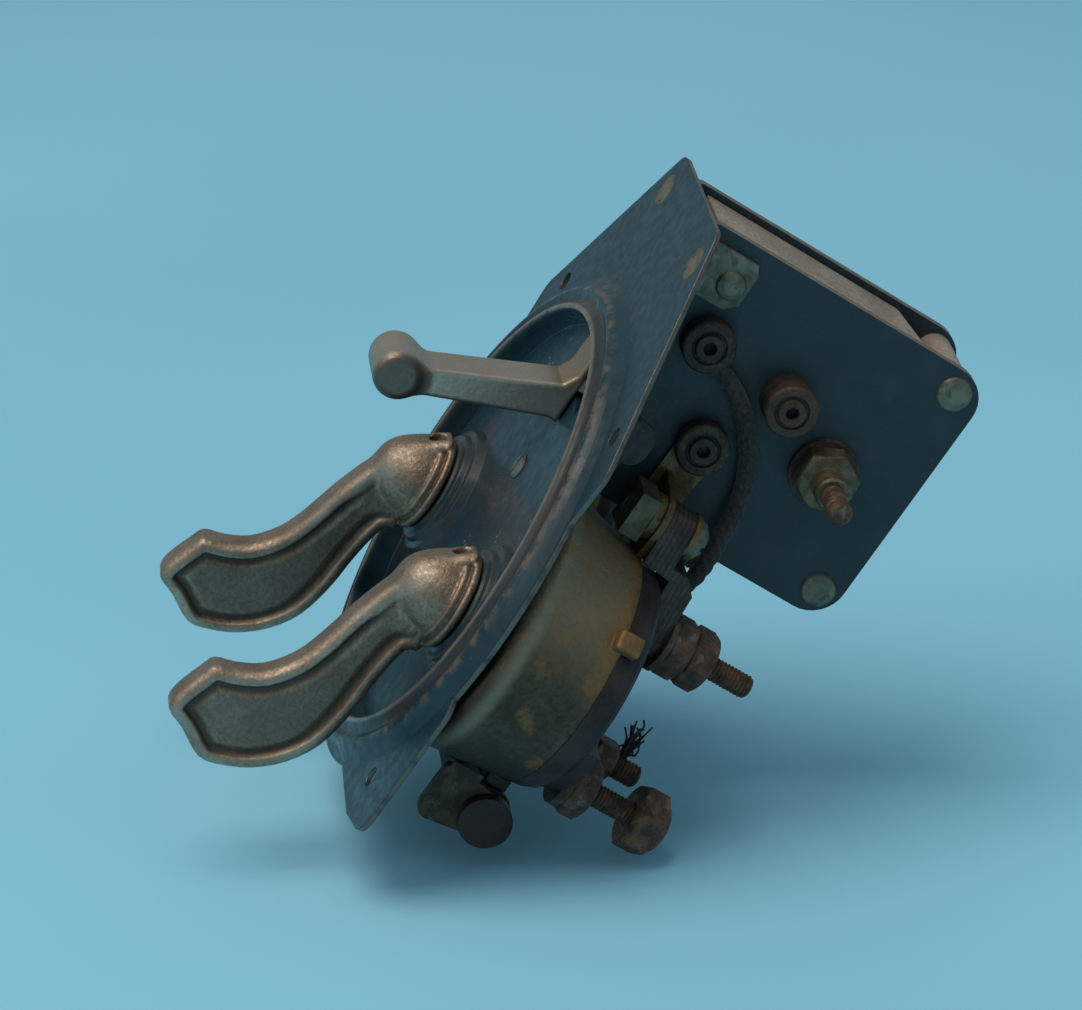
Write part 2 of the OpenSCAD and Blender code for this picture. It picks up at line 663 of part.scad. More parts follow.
module aux_washer() {
    color([0.3, 0.28, 0.2]) at_dial()
    difference() {
        rod_x(aux_y, aux_z, panel_x, panel_x + 1.4, 6.8);
        rod_x(aux_y, aux_z, 10, 40, stud_core + 0.1);
    }
}
module aux_nut() {
    color([0.32, 0.3, 0.2]) at_dial()
    along_x(panel_x + 1.4, aux_y, aux_z) {
        hex_nut(nut_af, 5, stud_core + 0.05);
        difference() {
            translate([0, 0, 5]) cylinder(r = 3.3, h = 5.4);
            cylinder(r = stud_core + 0.05, h = 12);
        }
    }
}
module terminal_strap() {
    color([0.34, 0.24, 0.15]) at_dial()
    difference() {
        union() {
            side_slab(panel_x, panel_x + 1.2) polygon(belt([[22.4, 24, 3.3], [23.6, 24, 3.3], [23.8, 39.2, 4.4]]));
            slab(link_front - 1.3, link_front)
                polygon(belt([[panel_x + 1, 21, 1], [link_x - 3, 18.8, 1], [link_x + 3, 18.8, 1],
                    [link_x, link_z, 5.4], [panel_x + 1, 31, 1]]));
        }
        rod_x(23.8, 39.2, 10, 20, 2.2);
        rod_y(link_x, link_z, 20, 30, 2.3);
    }
}
module link_bar() {
    back = link_front + link_t;
    rear = base_back + 0.2 + link_t;
    color([0.25, 0.2, 0.2]) at_dial()
    difference() {
        intersection() {
            slab(20, 40) polygon(belt([[hub_x + stud_up[0], hub_z + stud_up[1], 4.7], [link_x, link_z, 4.7]]));
            side_slab(10, 40)
                polygon([
                    [link_front, 34], [link_front, 18.6], [base_back + 0.2, 17.9], [base_back + 0.2, -2],
                    [rear, -2], [rear, 17.4], [back + 3.6, 20.1], [back, 20.1], [back, 34],
                ]);
        }
        rod_y(hub_x + stud_up[0], hub_z + stud_up[1], 20, 40, stud_core + 0.05);
        rod_y(link_x, link_z, 20, 40, 2.3);
    }
}
module link_screw() {
    color([0.42, 0.42, 0.4]) at_dial() {
        rod_y(link_x, link_z, link_front - 7, link_front + link_t + 1, 2.25);
        difference() {
            turned_y(link_x, link_front + link_t + 1, link_z, [[0, 0], [4.3, 0], [4, 1.6], [2.6, 2.8], [0, 3.2]]);
            translate([link_x - 5, link_front + link_t + 3, link_z - 0.5]) cube([10, 2, 1]);
        }
    }
}
module link_washers() {
    color([0.5, 0.38, 0.2]) at_dial()
    for (y = [[link_front - 3, 1.7, 4.8], [link_front + link_t, 1, 4.9]])
        difference() {
            rod_y(link_x, link_z, y[0], y[0] + y[1], y[2]);
            rod_y(link_x, link_z, 10, 40, 2.3);
        }
}
module link_nut() {
    color([0.3, 0.3, 0.22]) at_dial()
    difference() {
        translate([link_x - 4.5, link_front - 7.2, link_z - 4.5]) cube([9, 4.2, 9]);
        rod_y(link_x, link_z, 10, 40, 2.3);
    }
}

// ---- Leads ----
lead_r = 1.8;
lead_sides = 10;
lead_route = [
    [15.3, 14.2, 54.8], [15.5, 18.3, 53.8], [15.6, 22.5, 51.9], [15.6, 26.6, 49], [15.6, 30.3, 45],
    [15.6, 33.2, 40.6], [15.8, 35.2, 36], [16.2, 36.4, 31], [17, 36.8, 25.8], [18.2, 36.8, 21.4],
    [19.8, 36, 17.6], [21.4, 34.4, 14.8],
];
function unit(v) = v / norm(v);
// A tube of round rings swept along a list of points
module tube(route, r, n) {
    last = len(route) - 1;
    rings = [
        for (i = [0 : last])
            let (
                ahead = unit(route[min(i + 1, last)] - route[max(i - 1, 0)]),
                across = unit(cross(ahead, [1, 0, 0])),
                up = cross(across, ahead)
            )
            for (k = [0 : n - 1]) route[i] + r * (cos(360 * k / n) * across + sin(360 * k / n) * up)
    ];
    walls = [
        for (i = [0 : last - 1]) for (k = [0 : n - 1])
            [i * n + k, i * n + (k + 1) % n, (i + 1) * n + (k + 1) % n, (i + 1) * n + k]
    ];
    ends = [[for (k = [n - 1 : -1 : 0]) k], [for (k = [0 : n - 1]) last * n + k]];
    polyhedron(points = rings, faces = concat(walls, ends), convexity = 4);
}
module braided_lead() {
    color([0.12, 0.11, 0.12]) at_dial() tube(lead_route, lead_r, lead_sides);
}
module wire_stub() {
    color([0.1, 0.14, 0.12]) at_dial()
    tube([[24.6, 43.4, -17.1], [23.9, 43, -14], [22.8, 42.2, -10]], 1.1, 8);
}

face_plate();
ear_rivets();
clip_nuts();
shaft_bushings();
lever_right();
shaft_right();
set_screw_right();
rotor_right();
wiper_right();
lever_left();
shaft_left();
set_screw_left();
rotor_left();
wiper_left();
selector_lever();
selector_arm();
selector_wiper();
selector_pivot();
case_right();
case_left();
base_right();
base_left();
detent_balls();
detent_springs();
contact_buttons();
color([0.42, 0.22, 0.14]) at_dial() studs(1);  // studs_right
color([0.42, 0.22, 0.14]) at_dial() studs(-1);  // studs_left
stud_washers();
stud_nuts_right();
stud_nuts_left();
cap_nut();
resistor_bracket();
resistor_spool();
panel_near();
panel_far();
panel_brackets();
bracket_rivets();
spacer_posts();
post_rivets();
breaker_yoke();
coil_core();
coil_spool();
coil_winding();
hinge_pin();
armature();
armature_contact();
contact_bracket();
contact_screw();
cup_terminals();
aux_stud();
aux_washer();
aux_nut();
terminal_strap();
link_bar();
link_screw();
link_washers();
link_nut();
braided_lead();
wire_stub();
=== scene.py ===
"""Looks for the combination lever switch: camera, light, floor, materials and detailed pieces.

Shapes are given in millimetres from the dial's centre: X right, Y back, Z up.
"""

import math

import bmesh
import bpy
import numpy as np
from mathutils import Matrix, Vector


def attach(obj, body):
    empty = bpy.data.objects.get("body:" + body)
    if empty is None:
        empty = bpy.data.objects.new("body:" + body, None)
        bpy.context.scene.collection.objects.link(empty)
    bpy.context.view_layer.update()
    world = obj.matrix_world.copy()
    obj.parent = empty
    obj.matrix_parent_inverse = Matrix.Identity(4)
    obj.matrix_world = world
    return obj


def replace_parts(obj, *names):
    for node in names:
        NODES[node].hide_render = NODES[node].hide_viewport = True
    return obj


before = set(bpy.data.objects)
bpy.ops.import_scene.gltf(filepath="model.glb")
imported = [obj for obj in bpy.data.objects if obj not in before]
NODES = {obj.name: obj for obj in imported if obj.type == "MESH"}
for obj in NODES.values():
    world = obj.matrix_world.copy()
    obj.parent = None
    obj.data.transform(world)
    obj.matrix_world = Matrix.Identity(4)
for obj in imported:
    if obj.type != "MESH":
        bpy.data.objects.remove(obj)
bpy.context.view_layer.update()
DIAL_Z = -39.3          # height of the dial's centre in the frame
HUB_X, HUB_Z = 28.0, -7.0
RNG = np.random.default_rng(7)


def at(x, y, z):
    """A point given from the dial's centre in mm, as a frame point in metres."""
    return Vector((x / 1000, y / 1000, (z + DIAL_Z) / 1000))


# ---------------------------------------------------------------- camera
CAMERA_AIM = (0.2, 9.2, 9.1)
CAMERA_AZIMUTH, CAMERA_ELEVATION, CAMERA_ROLL = -18.06, 16.21, -34.92
CAMERA_DISTANCE = 870.8
CAMERA_LENS = 151.17


def view_axes():
    """The camera's right, up and back directions."""
    a, e, roll = (math.radians(v) for v in (CAMERA_AZIMUTH, CAMERA_ELEVATION, CAMERA_ROLL))
    back = Vector((math.cos(e) * math.cos(a), math.cos(e) * math.sin(a), math.sin(e)))
    side = Vector((0, 0, 1)).cross(back).normalized()
    level = back.cross(side)
    up = level * math.cos(roll) + side * math.sin(roll)
    return up.cross(back), up, back


def add_camera():
    data = bpy.data.cameras.new("camera")
    data.sensor_width = 36
    data.lens = CAMERA_LENS
    data.clip_start, data.clip_end = 0.02, 30
    cam = bpy.data.objects.new("camera", data)
    right, up, back = view_axes()
    m = Matrix((right, up, back)).transposed().to_4x4()
    m.translation = at(*CAMERA_AIM) + back * CAMERA_DISTANCE / 1000
    cam.matrix_world = m
    bpy.context.scene.collection.objects.link(cam)
    bpy.context.scene.camera = cam


add_camera()
bpy.context.scene.view_settings.view_transform = "Standard"
bpy.context.scene.view_settings.look = "None"


# ---------------------------------------------------------------- node nets
class Net:
    """A material's node tree, with short names for the nodes used here."""

    def __init__(self, name):
        self.mat = bpy.data.materials.new(name)
        self.mat.use_nodes = True
        self.tree = self.mat.node_tree
        self.tree.nodes.clear()
        coord = self.add("ShaderNodeTexCoord")
        self.facing = coord.outputs["Normal"]
        scaled = self.add("ShaderNodeVectorMath", operation="MULTIPLY_ADD")
        self.put(scaled.inputs[0], coord.outputs["Object"])
        scaled.inputs[1].default_value = (1000, 1000, 1000)
        scaled.inputs[2].default_value = (0, 0, -DIAL_Z)
        self.mm = scaled.outputs[0]
        split = self.add("ShaderNodeSeparateXYZ")
        self.put(split.inputs[0], self.mm)
        self.x, self.y, self.z = split.outputs
        turn = self.add("ShaderNodeSeparateXYZ")
        self.put(turn.inputs[0], self.facing)
        self.nx, self.ny, self.nz = turn.outputs

    def add(self, kind, **settings):
        node = self.tree.nodes.new(kind)
        for key, value in settings.items():
            setattr(node, key, value)
        return node

    def put(self, socket, value):
        if isinstance(value, bpy.types.NodeSocket):
            self.tree.links.new(value, socket)
        elif isinstance(value, tuple) and len(value) == 3 and socket.type == "RGBA":
            socket.default_value = (*value, 1)
        else:
            socket.default_value = value

    def math(self, op, a, b=0.0, clamp=False):
        node = self.add("ShaderNodeMath", operation=op, use_clamp=clamp)
        self.put(node.inputs[0], a)
        self.put(node.inputs[1], b)
        return node.outputs[0]

    def span(self, value, low, high, to_low=0.0, to_high=1.0, smooth=True):
        node = self.add("ShaderNodeMapRange", interpolation_type="SMOOTHSTEP" if smooth else "LINEAR")
        for socket, v in zip(node.inputs, (value, low, high, to_low, to_high)):
            self.put(socket, v)
        return node.outputs[0]

    def near(self, value, middle, width):
        """1 at middle, falling to 0 at width away."""
        off = self.math("ABSOLUTE", self.math("SUBTRACT", value, middle))
        return self.span(off, 0.0, width, 1.0, 0.0)

    def radius(self, x, z):
        """Distance from an axis along Y."""
        dx = self.math("SUBTRACT", self.x, x)
        dz = self.math("SUBTRACT", self.z, z)
        squares = self.math("ADD", self.math("MULTIPLY", dx, dx), self.math("MULTIPLY", dz, dz))
        return self.math("SQRT", squares)

    def stretch(self, scale):
        node = self.add("ShaderNodeVectorMath", operation="MULTIPLY")
        self.put(node.inputs[0], self.mm)
        node.inputs[1].default_value = scale
        return node.outputs[0]

    def noise(self, scale, detail=4.0, rough=0.55, low=0.35, high=0.65, at=None, bend=0.0):
        """Noise whose scale is in features per mm, spread to 0..1 between low and high."""
        node = self.add("ShaderNodeTexNoise")
        self.put(node.inputs["Vector"], self.mm if at is None else at)
        self.put(node.inputs["Scale"], scale)
        self.put(node.inputs["Detail"], detail)
        self.put(node.inputs["Roughness"], rough)
        self.put(node.inputs["Distortion"], bend)
        return self.span(node.outputs["Fac"], low, high)

    def cells(self, scale, low, high, at=None):
        """Small spots: 1 inside each, 0 outside."""
        node = self.add("ShaderNodeTexVoronoi")
        self.put(node.inputs["Vector"], self.mm if at is None else at)
        self.put(node.inputs["Scale"], scale)
        return self.span(node.outputs["Distance"], low, high, 1.0, 0.0)

    def both(self, a, b):
        return self.math("MULTIPLY", a, b, clamp=True)

    def either(self, a, b):
        return self.math("MAXIMUM", a, b)

    def mix(self, share, a, b):
        node = self.add("ShaderNodeMix", data_type="RGBA")
        self.put(node.inputs[0], share)
        self.put(node.inputs[6], a)
        self.put(node.inputs[7], b)
        return node.outputs[2]

    def blend(self, share, a, b):
        return self.span(share, 0.0, 1.0, a, b, smooth=False)

    def finish(self, color, rough, metal=0.0, height=None, depth=0.05, bevel=0.25, **extra):
        """height is in 0..1 and depth says how many mm it stands for."""
        shader = self.add("ShaderNodeBsdfPrincipled")
        self.put(shader.inputs["Base Color"], color)
        self.put(shader.inputs["Roughness"], rough)
        self.put(shader.inputs["Metallic"], metal)
        for name, value in extra.items():
            self.put(shader.inputs[name.replace("_", " ").title().replace("Ior", "IOR")], value)
        normal = None
        if bevel:
            round_off = self.add("ShaderNodeBevel", samples=6)
            round_off.inputs["Radius"].default_value = bevel / 1000
            normal = round_off.outputs[0]
        if height is not None:
            bump = self.add("ShaderNodeBump")
            bump.inputs["Strength"].default_value = 1
            bump.inputs["Distance"].default_value = depth / 1000
            self.put(bump.inputs["Height"], height)
            if normal:
                self.put(bump.inputs["Normal"], normal)
            normal = bump.outputs[0]
        if normal:
            self.put(shader.inputs["Normal"], normal)
        out = self.add("ShaderNodeOutputMaterial")
        self.put(out.inputs[0], shader.outputs[0])
        return self.mat


# ---------------------------------------------------------------- materials
def enamel():
    n = Net("enamel")
    r = n.radius(0, 0)
    cloud = n.noise(0.05, 3)
    fine = n.noise(0.6, 6, 0.65)
    base = n.mix(cloud, (0.008, 0.031, 0.046), (0.012, 0.043, 0.062))
    base = n.mix(n.both(fine, 0.3), base, (0.016, 0.044, 0.060))
    front = n.span(n.y, 1.9, 0.4)
    gilding = 0.0
    for x, z, reach in ((1, -5.4, 4), (15.5, 2, 4), (27, 13, 5), (-16, 32, 6), (-21, 27, 4)):
        gilding = n.either(n.span(n.radius(x, z), reach, reach * 0.6), gilding)
    # painted highlights on the ring: brown along its bead, and bright at its lip, which is also worn
    lip_wear_and_highlight = n.both(n.near(r, 45.0, 0.85), n.noise(0.30, 3, low=0.25, high=0.50))
    bead_highlight = n.both(n.near(r, 49.4, 1.3), n.noise(0.3, 4, low=0.42, high=0.62))
    wall = n.both(n.near(r, 47.0, 2.6), n.noise(0.10, 4, low=0.25, high=0.55))
    base = n.mix(n.both(wall, 0.85), base, (0.040, 0.028, 0.022))
    # painted highlight along the bead, then wear with a painted highlight at the lip
    base = n.mix(n.both(bead_highlight, 0.8), base, (0.15, 0.105, 0.078))
    base = n.mix(n.both(lip_wear_and_highlight, 0.9), base, (0.42, 0.32, 0.24))
    # rubbed patches round the levers' bosses
    worn = None
    for side in (1, -1):
        hub = n.radius(side * HUB_X, HUB_Z)
        patch = n.both(n.span(hub, 22, 12), n.noise(0.12, 4, low=0.4, high=0.62))
        steps = n.either(n.near(hub, 11.3, 0.9), n.near(hub, 13.6, 0.7))
        ridge = n.both(steps, n.noise(0.5, 3, low=0.35, high=0.6))
        both = n.either(n.both(patch, 0.6), ridge)
        worn = both if worn is None else n.either(worn, both)
    base = n.mix(n.both(worn, 0.75), base, (0.085, 0.070, 0.060))
    # the sheared outer edge shows metal
    side_on = n.span(n.math("ABSOLUTE", n.ny), 0.75, 0.35)
    outside = n.span(r, 51.5, 53)
    cut = n.both(n.both(side_on, outside), n.noise(0.3, 4, low=0.25, high=0.55))
    base = n.mix(cut, base, (0.16, 0.145, 0.13))
    scratch = n.noise(0.35, 5, 0.7, 0.60, 0.66, at=n.stretch((1.5, 1, 9)), bend=0.6)
    base = n.mix(n.both(scratch, 0.07), base, (0.10, 0.105, 0.10))
    gilt = n.both(n.cells(0.55, 0.16, 0.24), n.both(front, gilding))
    base = n.mix(gilt, base, (0.46, 0.33, 0.15))
    speck = n.cells(0.55, 0.06, 0.11)
    base = n.mix(n.both(speck, 0.35), base, (0.16, 0.15, 0.13))
    metal = n.either(n.both(lip_wear_and_highlight, 0.8), n.either(n.both(cut, 0.7), n.both(worn, 0.35)))
    rough = n.blend(n.noise(0.4, 5), 0.26, 0.42)
    height = n.math("ADD", n.both(n.noise(0.9, 4), 0.6), n.both(scratch, -0.5))
    return n.finish(base, rough, metal, height, 0.010, 0.5, specular_ior_level=0.4)


def nickel(name):
    """The worn nickel both kinds of lever share: the net, its colour, fine mottling and pits."""
    n = Net(name)
    cloud = n.noise(0.10, 4)
    fine = n.noise(1.2, 6, 0.7)
    pits = n.cells(1.1, 0.10, 0.2)
    base = n.mix(cloud, (0.33, 0.235, 0.165), (0.48, 0.355, 0.26))
    base = n.mix(n.both(fine, 0.5), base, (0.16, 0.13, 0.105))
    base = n.mix(n.both(pits, 0.5), base, (0.06, 0.05, 0.04))
    return n, base, fine, pits


def lever_metal():
    n, base, fine, pits = nickel("lever_metal")
    hollow = n.add("ShaderNodeAttribute", attribute_name="hollow").outputs["Fac"]
    rim = n.add("ShaderNodeAttribute", attribute_name="rim").outputs["Fac"]
    basin = n.add("ShaderNodeAttribute", attribute_name="basin").outputs["Fac"]
    # painted shade: darker on the blade's inner panel, darkest in its groove and along the dome's seam
    base = n.mix(n.both(basin, 0.6), base, (0.135, 0.12, 0.10))
    base = n.mix(n.both(hollow, 0.85), base, (0.075, 0.058, 0.046))
    # painted highlight along the blade's rims
    base = n.mix(n.both(n.both(rim, 0.55), n.noise(0.12, 4, low=0.35, high=0.65)), base, (0.46, 0.40, 0.34))
    rough = n.blend(n.either(hollow, fine), 0.30, 0.55)
    height = n.math("ADD", n.both(n.noise(0.8, 6, 0.7), 1.0), n.both(pits, -1.2))
    return n.finish(base, rough, 0.9, height, 0.05, 0)


def selector_metal():
    n, base, fine, pits = nickel("selector_metal")
    base = n.mix(0.55, base, (0.52, 0.47, 0.40))
    end = n.both(n.span(n.math("ABSOLUTE", n.x), 5.2, 6.6), n.span(n.y, -22, -25))
    base = n.mix(n.both(end, 0.75), base, (0.07, 0.062, 0.055))
    root = n.both(n.span(n.y, -6.0, -1.5), n.span(n.z, 30, 34))
    base = n.mix(n.both(root, 0.7), base, (0.30, 0.20, 0.09))
    # painted shade on the faces that look down
    under = n.both(n.span(n.nz, 0.1, -0.6), 0.75)
    base = n.mix(under, base, (0.10, 0.078, 0.06))
    brush = n.noise(1.0, 3, at=n.stretch((6, 0.5, 0.5)))
    rough = n.blend(fine, 0.27, 0.46)
    height = n.math("ADD", n.both(brush, 0.5), n.both(pits, -1.0))
    return n.finish(base, rough, 0.75, height, 0.035, 0)


def tarnished_case():
    n = Net("tarnished_case")
    cloud = n.noise(0.07, 5)
    fine = n.noise(0.8, 7, 0.7)
    base = n.mix(cloud, (0.060, 0.046, 0.030), (0.108, 0.082, 0.052))
    base = n.mix(n.both(fine, 0.6), base, (0.052, 0.042, 0.028))
    # painted light: lighter and warmer towards the drum's top
    high = n.both(n.span(n.z, -6, 12), 0.75)
    base = n.mix(high, base, (0.36, 0.25, 0.15))
    # painted highlight along the drum's front shoulder
    shoulder_highlight = n.near(n.y, 5.4, 2.4)
    base = n.mix(n.both(shoulder_highlight, 0.7), base, (0.32, 0.26, 0.18))
    rear = n.both(n.span(n.y, 17.5, 21.8), n.span(n.z, -8, 8))
    bloom = n.both(n.noise(0.16, 4, low=0.56, high=0.66), 0.6)
    stain = n.both(n.either(rear, bloom), n.noise(0.7, 6, 0.7, 0.3, 0.6))
    base = n.mix(n.both(stain, 0.9), base, (0.36, 0.165, 0.045))
    tabs = n.both(n.span(n.y, 20.8, 21.8), n.both(n.span(n.z, -8, 4), n.noise(0.5, 4, low=0.3, high=0.6)))
    base = n.mix(tabs, base, (0.22, 0.125, 0.06))
    # painted shade: darker and bluer towards the drum's bottom
    low = n.span(n.z, -18, -30)
    base = n.mix(n.both(low, 0.55), base, (0.035, 0.043, 0.045))
    speck = n.cells(0.9, 0.08, 0.16)
    base = n.mix(n.both(speck, 0.35), base, (0.22, 0.2, 0.15))
    rough = n.blend(fine, 0.42, 0.62)
    height = n.math("ADD", n.noise(0.5, 7, 0.75), n.both(speck, 0.3))
    return n.finish(base, rough, 0.75, height, 0.07, 0.3)


def bakelite():
    n = Net("bakelite")
    cloud = n.noise(0.12, 5)
    base = n.mix(cloud, (0.022, 0.014, 0.014), (0.050, 0.032, 0.030))
    dust = n.noise(0.9, 6, 0.7, 0.5, 0.75)
    base = n.mix(n.both(dust, 0.5), base, (0.085, 0.060, 0.052))
    lines = n.noise(0.9, 3, at=n.stretch((0.6, 3.5, 0.6)))
    rough = n.blend(dust, 0.38, 0.62)
    return n.finish(base, rough, 0.0, n.math("ADD", lines, dust), 0.05, 0.3, specular_ior_level=0.22)


def rust(name, dark=(0.060, 0.036, 0.026), light=(0.20, 0.095, 0.055), metal=0.35, bare=(0.24, 0.19, 0.15)):
    n = Net(name)
    cloud = n.noise(0.35, 5)
    fine = n.noise(1.6, 7, 0.75)
    base = n.mix(cloud, dark, light)
    base = n.mix(n.both(fine, 0.4), base, dark)
    rub = n.noise(0.5, 4, low=0.55, high=0.68)
    base = n.mix(n.both(rub, 0.6), base, bare)
    rough = n.blend(fine, 0.42, 0.70)
    return n.finish(base, rough, metal, n.math("ADD", fine, cloud), 0.06, 0.3)


def plating(name, a=(0.12, 0.13, 0.095), b=(0.21, 0.215, 0.16), stain=(0.10, 0.065, 0.04), metal=0.45):
    n = Net(name)
    cloud = n.noise(0.25, 5)
    fine = n.noise(1.4, 6, 0.7)
    base = n.mix(cloud, a, b)
    base = n.mix(n.both(n.noise(0.4, 6, low=0.52, high=0.64), 0.7), base, stain)
    rough = n.blend(fine, 0.36, 0.60)
    return n.finish(base, rough, metal, fine, 0.03, 0.25)


def board():
    n = Net("board")
    cloud = n.noise(0.06, 5)
    fine = n.noise(1.2, 6, 0.7)
    base = n.mix(cloud, (0.0085, 0.019, 0.028), (0.013, 0.030, 0.042))
    base = n.mix(n.both(fine, 0.4), base, (0.022, 0.040, 0.050))
    edge = n.span(n.math("ABSOLUTE", n.nx), 0.8, 0.4)
    cut = n.mix(n.noise(0.8, 5), (0.105, 0.078, 0.055), (0.175, 0.135, 0.10))
    base = n.mix(edge, base, cut)
    scratch = n.noise(0.4, 5, 0.7, 0.62, 0.67, at=n.stretch((1, 1.2, 7)), bend=0.5)
    base = n.mix(n.both(scratch, 0.22), base, (0.07, 0.085, 0.09))
    dust = n.noise(0.16, 4, low=0.5, high=0.7)
    base = n.mix(n.both(dust, 0.18), base, (0.05, 0.06, 0.062))
    rough = n.blend(fine, 0.36, 0.55)
    return n.finish(base, rough, 0.0, n.math("ADD", fine, n.both(scratch, -1)), 0.018, 0.25)


def strip():
    n = Net("strip")
    cloud = n.noise(0.10, 5)
    fine = n.noise(1.0, 6, 0.7)
    base = n.mix(cloud, (0.42, 0.32, 0.25), (0.58, 0.46, 0.37))
    base = n.mix(n.both(fine, 0.4), base, (0.06, 0.05, 0.045))
    grain = n.noise(1.0, 3, at=n.stretch((4, 0.25, 4)))
    return n.finish(base, n.blend(fine, 0.35, 0.55), 0.35, n.math("ADD", grain, fine), 0.02, 0.25)


def link_metal():
    n = Net("link_metal")
    cloud = n.noise(0.2, 5)
    fine = n.noise(1.3, 6, 0.7)
    base = n.mix(cloud, (0.055, 0.040, 0.038), (0.10, 0.076, 0.068))
    base = n.mix(n.both(fine, 0.45), base, (0.03, 0.022, 0.02))
    layers = n.add("ShaderNodeTexWave", wave_type="BANDS", bands_direction="Y")
    n.put(layers.inputs["Vector"], n.mm)
    layers.inputs["Scale"].default_value = 0.32
    layers.inputs["Distortion"].default_value = 1.2
    layers.inputs["Detail"].default_value = 2
    lines = n.span(layers.outputs["Fac"], 0.0, 0.25, 1.0, 0.0)
    base = n.mix(n.both(lines, 0.6), base, (0.018, 0.014, 0.013))
    height = n.math("ADD", n.both(lines, -1.0), n.both(fine, 0.5))
    return n.finish(base, n.blend(fine, 0.4, 0.62), 0.55, height, 0.06, 0.35)


def cup_metal():
    n = Net("cup_metal")
    cloud = n.noise(0.3, 5)
    fine = n.noise(1.5, 6, 0.7)
    base = n.mix(cloud, (0.050, 0.034, 0.028), (0.105, 0.072, 0.055))
    base = n.mix(n.both(fine, 0.5), base, (0.028, 0.022, 0.02))
    edge = n.span(n.x, 17.0, 20.0)
    base = n.mix(n.both(edge, 0.35), base, (0.13, 0.082, 0.055))
    return n.finish(base, n.blend(fine, 0.45, 0.68), 0.55, fine, 0.05, 0.35)


def braid_cloth():
    n = Net("braid_cloth")
    fine = n.noise(2.0, 4)
    base = n.mix(fine, (0.012, 0.012, 0.013), (0.040, 0.034, 0.030))
    base = n.mix(n.both(n.noise(0.12, 3, low=0.45, high=0.7), 0.5), base, (0.060, 0.040, 0.028))
    return n.finish(base, 0.85, 0.0, fine, 0.03, 0, sheen_weight=0.15)


def copper():
    n = Net("copper")
    fine = n.noise(0.8, 5)
    base = n.mix(fine, (0.10, 0.035, 0.014), (0.22, 0.085, 0.035))
    return n.finish(base, n.blend(fine, 0.35, 0.5), 0.7, fine, 0.02, 0)


MATERIALS = {
    "enamel": enamel(), "levers": lever_metal(), "selector": selector_metal(), "case": tarnished_case(),
    "bakelite": bakelite(), "rust": rust("rust"), "board": board(), "strip": strip(), "link": link_metal(),
    "dull_rust": rust("dull_rust", (0.045, 0.034, 0.022), (0.13, 0.085, 0.050), 0.4, (0.18, 0.15, 0.11)),
    "rivet_brass": plating(
        "rivet_brass", (0.16, 0.125, 0.075), (0.27, 0.215, 0.135), (0.06, 0.06, 0.055), 0.6
    ),
    "plating": plating("plating"),
    "clip": plating("clip", (0.020, 0.024, 0.026), (0.040, 0.044, 0.043), (0.035, 0.026, 0.018), 0.4),
    "olive": plating("olive", (0.095, 0.082, 0.048), (0.17, 0.145, 0.09), (0.075, 0.042, 0.022), 0.5),
    "brass": plating("brass", (0.13, 0.082, 0.036), (0.25, 0.165, 0.075), (0.06, 0.035, 0.02), 0.75),
    "bright": plating("bright", (0.20, 0.195, 0.18), (0.36, 0.35, 0.32), (0.10, 0.07, 0.05), 0.85),
    "cup": cup_metal(), "braid": braid_cloth(), "copper": copper(),
}
NODE_MATERIAL = {
    "face_plate": "enamel", "ear_rivets": "rivet_brass", "clip_nuts": "clip", "shaft_bushings": "olive",
    "lever_right": "levers", "lever_left": "levers", "shaft_right": "bright", "shaft_left": "bright",
    "set_screw_right": "bright", "set_screw_left": "bright",
    "rotor_right": "bakelite", "rotor_left": "bakelite",
    "wiper_right": "brass", "wiper_left": "brass", "selector_lever": "selector", "selector_arm": "bright",
    "selector_wiper": "brass", "selector_pivot": "bright", "case_right": "case", "case_left": "case",
    "base_right": "bakelite", "base_left": "bakelite", "detent_balls": "bright", "detent_springs": "bright",
    "contact_buttons": "brass", "studs_right": "rust", "studs_left": "rust", "stud_washers": "dull_rust",
    "stud_nuts_right": "rust", "stud_nuts_left": "rust", "cap_nut": "rust", "resistor_bracket": "dull_rust",
    "resistor_spool": "bakelite", "panel_near": "board", "panel_far": "board", "panel_brackets": "plating",
    "bracket_rivets": "plating", "spacer_posts": "strip", "post_rivets": "plating", "breaker_yoke": "strip",
    "coil_core": "strip", "coil_spool": "board", "coil_winding": "copper", "hinge_pin": "plating",
    "armature": "strip", "armature_contact": "bright", "contact_bracket": "brass", "contact_screw": "brass",
    "cup_terminals": "cup", "aux_stud": "rust", "aux_washer": "dull_rust", "aux_nut": "olive",
    "terminal_strap": "brass", "link_bar": "link", "link_screw": "plating", "link_washers": "brass",
    "link_nut": "olive", "braided_lead": "braid", "wire_stub": "braid",
}
for name, kind in NODE_MATERIAL.items():
    mesh = NODES[name].data
    mesh.materials.clear()
    mesh.materials.append(MATERIALS[kind])


